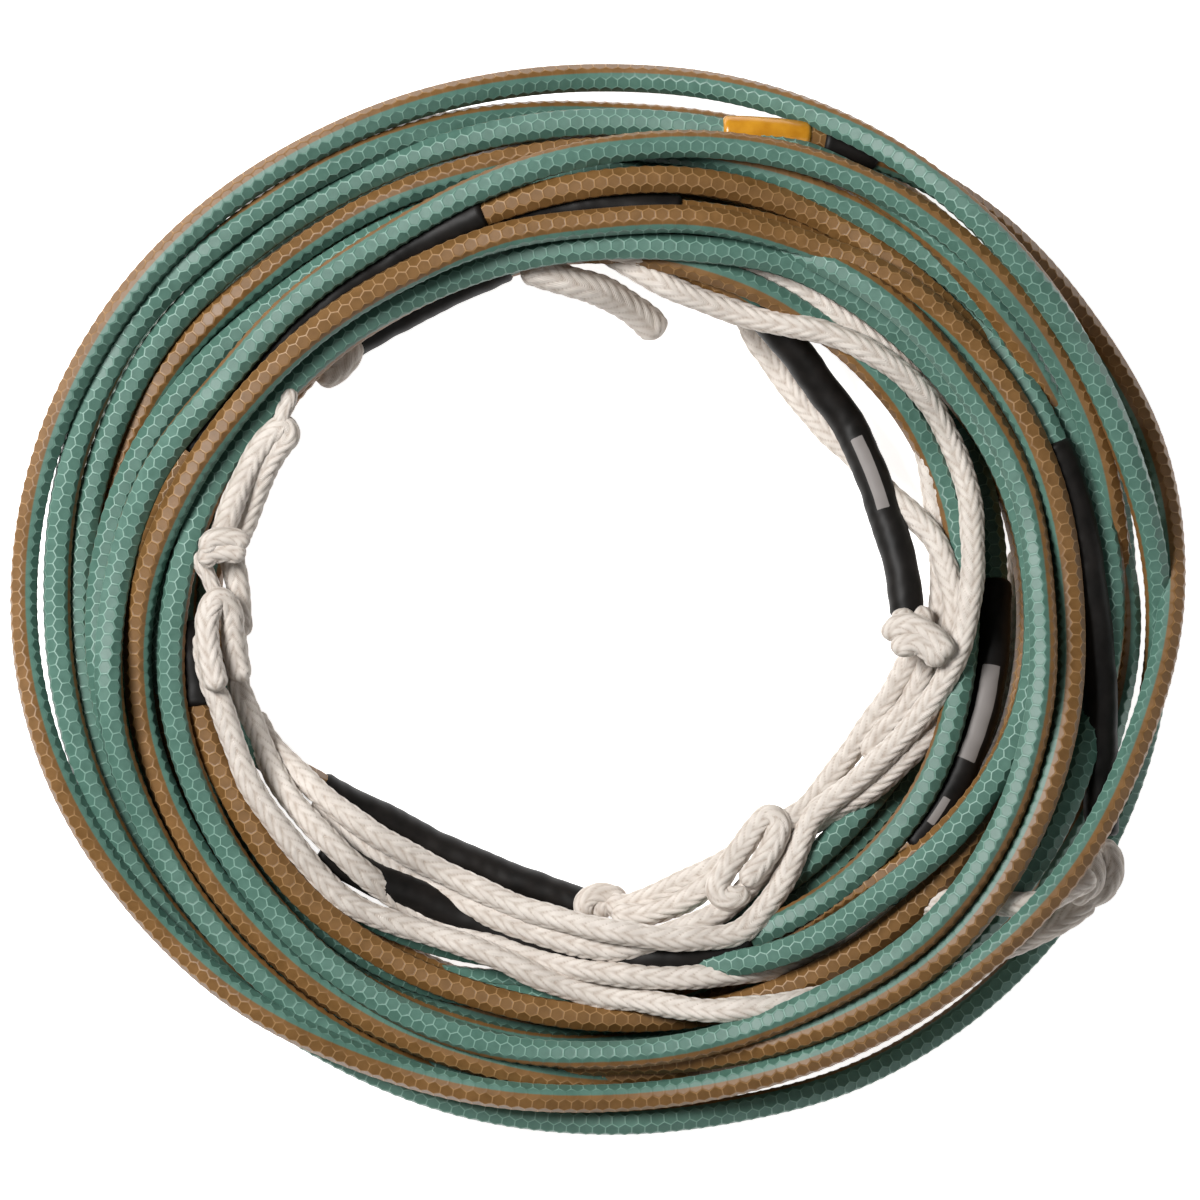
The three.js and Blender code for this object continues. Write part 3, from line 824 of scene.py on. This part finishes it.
def sleeve(name, points, radius, stands_for, material, wrinkle=0.1, bars=()):
    """A shrink sleeve: a slightly uneven tube drawn in at both ends.

    bars are plain printed bars along its top: (start, end, half width). The first two are shares of its
    length and the last is in radians.
    """
    path = Path(points)
    rows = int(path.length / SLEEVE_STEP)
    travelled = np.linspace(0, path.length, rows)[:, None] * np.ones((1, SLEEVE_COLUMNS))
    turn = (np.arange(SLEEVE_COLUMNS) / SLEEVE_COLUMNS * 2 * math.pi)[None, :] * np.ones((rows, 1))
    from_end = np.minimum(travelled, path.length - travelled)
    lip = np.sqrt(np.clip(from_end / SLEEVE_LIP, 0, 1))
    uneven = (
        np.sin(travelled * 0.31 + 1.3 * np.sin(turn))
        + 0.7 * np.sin(travelled * 0.53 + 2 * turn + 1.1 * np.sin(travelled * 0.17))
        + 0.4 * np.sin(travelled * 1.13 - 3 * turn + 2 * np.sin(travelled * 0.23))
    )
    distance = radius * (1 - LIP_DRAW * (1 - lip)) + wrinkle * uneven
    from_top = np.abs((turn + math.pi) % (2 * math.pi) - math.pi)
    share = travelled / path.length
    bar = np.zeros_like(travelled)
    for start, end, half_width in bars:
        bar = np.maximum(bar, (share > start) & (share < end) & (from_top < half_width))
    vertices = path.surface(travelled, turn, distance).reshape(-1, 3)
    faces = grid_faces(rows, SLEEVE_COLUMNS)
    return make_piece(name, vertices, faces, material, stands_for, {"bar": bar})


# ---- Materials --------------------------------------------------------------

# How strongly the floor glows: painted light that washes out the shadows on it.
FLOOR_GLOW = 0.85

class Nodes:
    """A material's node tree, with short ways to add nodes to it."""

    def __init__(self, name, roughness):
        self.material = bpy.data.materials.new(name)
        self.material.use_nodes = True
        self.tree = self.material.node_tree
        self.shader = self.tree.nodes["Principled BSDF"]
        self.shader.inputs["Roughness"].default_value = roughness

    def add(self, kind, **settings):
        node = self.tree.nodes.new(kind)
        for key, value in settings.items():
            setattr(node, key, value)
        return node

    def link(self, source, target):
        self.tree.links.new(source, target)

    def attribute(self, name):
        return self.add("ShaderNodeAttribute", attribute_name=name).outputs["Fac"]

    def noise(self, scale, detail=3.0):
        node = self.add("ShaderNodeTexNoise")
        place = self.add("ShaderNodeTexCoord")
        self.link(place.outputs["Object"], node.inputs["Vector"])
        node.inputs["Scale"].default_value = scale
        node.inputs["Detail"].default_value = detail
        return node.outputs["Fac"]

    def ranged(self, value, low, high):
        """0 at low and below, 1 at high and above."""
        node = self.add("ShaderNodeMapRange")
        self.link(value, node.inputs["Value"])
        node.inputs["From Min"].default_value = low
        node.inputs["From Max"].default_value = high
        return node.outputs["Result"]

    def waves(self, value, count):
        """Sine waves, count of them for each whole step of the value."""
        scaled = self.add("ShaderNodeMath", operation="MULTIPLY")
        self.link(value, scaled.inputs[0])
        scaled.inputs[1].default_value = 2 * math.pi * count
        wave = self.add("ShaderNodeMath", operation="SINE")
        self.link(scaled.outputs[0], wave.inputs[0])
        return wave.outputs[0]

    def mixed(self, share, first, second):
        """Mixes two colours; each is a colour tuple or a socket."""
        node = self.add("ShaderNodeMix", data_type="RGBA")
        self.link(share, node.inputs["Factor"])
        for socket, colour in ((node.inputs[6], first), (node.inputs[7], second)):
            if isinstance(colour, tuple):
                socket.default_value = (*colour, 1)
            else:
                self.link(colour, socket)
        return node.outputs[2]

    def bump(self, height, strength, distance):
        node = self.add("ShaderNodeBump")
        node.inputs["Strength"].default_value = strength
        node.inputs["Distance"].default_value = distance
        self.link(height, node.inputs["Height"])
        self.link(node.outputs["Normal"], self.shader.inputs["Normal"])

    def colour(self, socket):
        self.link(socket, self.shader.inputs["Base Color"])


def coated_material():
    """Two-tone satin jacket, darker in the cells and paler along the ridges. The paler ridges are partly
    their own worn, lighter tint and partly painted highlight where the raised ridges catch the light.
    """
    nodes = Nodes("coated_line", 0.46)
    nodes.shader.inputs["Specular IOR Level"].default_value = 0.4
    cell_noise = nodes.ranged(nodes.noise(220), 0.3, 0.7)
    # Paler ridges: partly a worn, lighter tint, partly painted highlight on the raised ridges; the cells
    # keep the plain colour.
    ridge = nodes.ranged(nodes.attribute("ridge"), 0.35, 1.0)
    teal_floor = nodes.mixed(cell_noise, (0.059, 0.133, 0.102), (0.082, 0.172, 0.135))
    teal = nodes.mixed(ridge, teal_floor, (0.195, 0.335, 0.275))
    tan_floor = nodes.mixed(cell_noise, (0.138, 0.067, 0.018), (0.190, 0.095, 0.029))
    tan = nodes.mixed(ridge, tan_floor, (0.335, 0.193, 0.081))
    side = nodes.ranged(nodes.attribute("teal"), -0.05, 0.05)
    nodes.colour(nodes.mixed(side, tan, teal))
    nodes.bump(nodes.noise(2600, 2.0), 0.2, 0.0001)
    return nodes.material


def braid_material():
    """Off-white fibre in fine lines along each stitch, with painted shade, warmer and darker, in the
    creases between the stitches.
    """
    nodes = Nodes("white_braid", 0.55)
    # Painted shade: the creases between the stitches get a darker, warmer colour.
    crease = nodes.ranged(nodes.attribute("crease"), 0.45, 1.1)
    patch = nodes.ranged(nodes.noise(260), 0.3, 0.7)
    fibre = nodes.mixed(patch, (0.55, 0.49, 0.435), (0.69, 0.63, 0.57))
    nodes.colour(nodes.mixed(crease, fibre, (0.32, 0.24, 0.18)))
    nodes.bump(nodes.waves(nodes.attribute("fibre"), 6), 0.35, 0.0002)
    return nodes.material


def sleeve_material():
    """Black shrink tube with a few grey printed bars."""
    nodes = Nodes("black_sleeve", 0.5)
    nodes.shader.inputs["Specular IOR Level"].default_value = 0.18
    blotch = nodes.ranged(nodes.noise(160), 0.3, 0.7)
    black = nodes.mixed(blotch, (0.0045, 0.0040, 0.0035), (0.012, 0.010, 0.009))
    printed = nodes.ranged(nodes.attribute("bar"), 0.4, 0.6)
    nodes.colour(nodes.mixed(printed, black, (0.22, 0.20, 0.19)))
    nodes.bump(nodes.noise(420), 0.12, 0.0004)
    return nodes.material


def amber_material():
    nodes = Nodes("amber_sleeve", 0.25)
    depth = nodes.ranged(nodes.noise(180), 0.3, 0.7)
    nodes.colour(nodes.mixed(depth, (0.42, 0.17, 0.008), (0.56, 0.26, 0.018)))
    nodes.bump(nodes.noise(500), 0.1, 0.0002)
    return nodes.material


def floor_material():
    """White studio paper that glows a little: painted light, so that it shows no hard shadow."""
    nodes = Nodes("floor", 0.9)
    shade = nodes.ranged(nodes.noise(3), 0.3, 0.7)
    nodes.colour(nodes.mixed(shade, (0.93, 0.93, 0.93), (0.95, 0.95, 0.95)))
    # Painted light: the floor glows, which washes out its shadows.
    nodes.shader.inputs["Emission Color"].default_value = (1, 1, 1, 1)
    nodes.shader.inputs["Emission Strength"].default_value = FLOOR_GLOW
    return nodes.material


coated_line = coated_material()
white_braid = braid_material()
black_sleeve = sleeve_material()
amber = amber_material()


# ---- Building the ropes -----------------------------------------------------

COATED_SLOTS = {
    "main_line": ("main_line_coil", "coated_teal"),
    "section_one": ("section_one_coil", "coated_teal"),
    "section_two": ("section_two_coil", "coated_tan"),
    "section_three": ("section_three_coil", "coated_tan"),
    "section_four": ("section_four_coil", "coated_teal"),
}


def declare(points):
    """Scales these points from mm to metres, and keeps nothing."""
    points = points * MM


for rope in coated:
    node, slot = COATED_SLOTS[rope.name]
    path = Path(rope.centreline())
    rows = int(path.length / HEX_PITCH) - 1
    lengths = math.ceil(rows / JACKET_ROWS)
    for number in range(lengths):
        first_row = 1 + (rows - 1) * number // lengths
        last_row = 1 + (rows - 1) * (number + 1) // lengths
        name = f"{rope.name}_{number + 1}" if lengths > 1 else rope.name
        piece = jacket(name, rope, path, first_row, last_row, [node], coated_line)
        points = path.between(first_row * HEX_PITCH, last_row * HEX_PITCH)
        declare(points)

knot_pieces = [braid(f"{name}_braid", strands, [name], white_braid) for name, strands in knots.items()]
for rope in braided:
    piece = braid(f"{rope.name}_braid", [rope], [rope.name], white_braid)
    declare(Path(rope.centreline()).points)
piece = braid(beside_sleeve.name, [beside_sleeve], ["link_strand_inner"], white_braid)
declare(Path(beside_sleeve.centreline()).points)

# Plain bars where the real sleeves carry print: see sleeve().
SLEEVE_BARS = {
    "sleeve_main_line_start": [(0.10, 0.20, 0.30), (0.34, 0.68, 0.55)],
    "sleeve_section_three_start": [(0.30, 0.52, 0.45)],
}
for rope in coated:
    for name, (first, last) in rope.sleeves.items():
        points = rope.sleeved_points(first, last)
        if name == "marker_sleeve":
            sleeve(f"{name}_tube", points, AMBER_RADIUS, [name], amber, wrinkle=0.03)
        else:
            bars = SLEEVE_BARS.get(name, ())
            sleeve(f"{name}_tube", points, SLEEVE_RADIUS, [name], black_sleeve, bars=bars)


# ---- Floor and light --------------------------------------------------------

FLOOR_HALF = 3.0
FLOOR_DROP = 0.0002             # keeps the floor just under the lowest ropes
floor_corners = [(x * FLOOR_HALF, y * FLOOR_HALF, 0) for x, y in ((-1, -1), (1, -1), (1, 1), (-1, 1))]
floor_mesh = bpy.data.meshes.new("floor")
floor_mesh.from_pydata(floor_corners, [], [(0, 1, 2, 3)])
floor_mesh.materials.append(floor_material())
floor = bpy.data.objects.new("floor", floor_mesh)
floor.location.z = -FLOOR_DROP
bpy.context.scene.collection.objects.link(floor)


def area_light(name, location, size, power):
    """A round soft light that points at the middle of the hank's base."""
    data = bpy.data.lights.new(name, "AREA")
    data.shape = "DISK"
    data.size = size
    data.energy = power
    light = bpy.data.objects.new(name, data)
    light.location = location
    light.rotation_euler = (-Vector(location)).to_track_quat("-Z", "Y").to_euler()
    bpy.context.scene.collection.objects.link(light)


area_light("key", (-0.85, 0.5, 1.4), 0.7, 42)
area_light("fill", (0.9, -0.7, 1.3), 1.2, 5)

world = bpy.data.worlds.new("studio")
world.use_nodes = True
world.node_tree.nodes["Background"].inputs["Color"].default_value = (1, 1, 1, 1)
world.node_tree.nodes["Background"].inputs["Strength"].default_value = 0.06
bpy.context.scene.world = world
bpy.context.scene.view_settings.view_transform = "Standard"
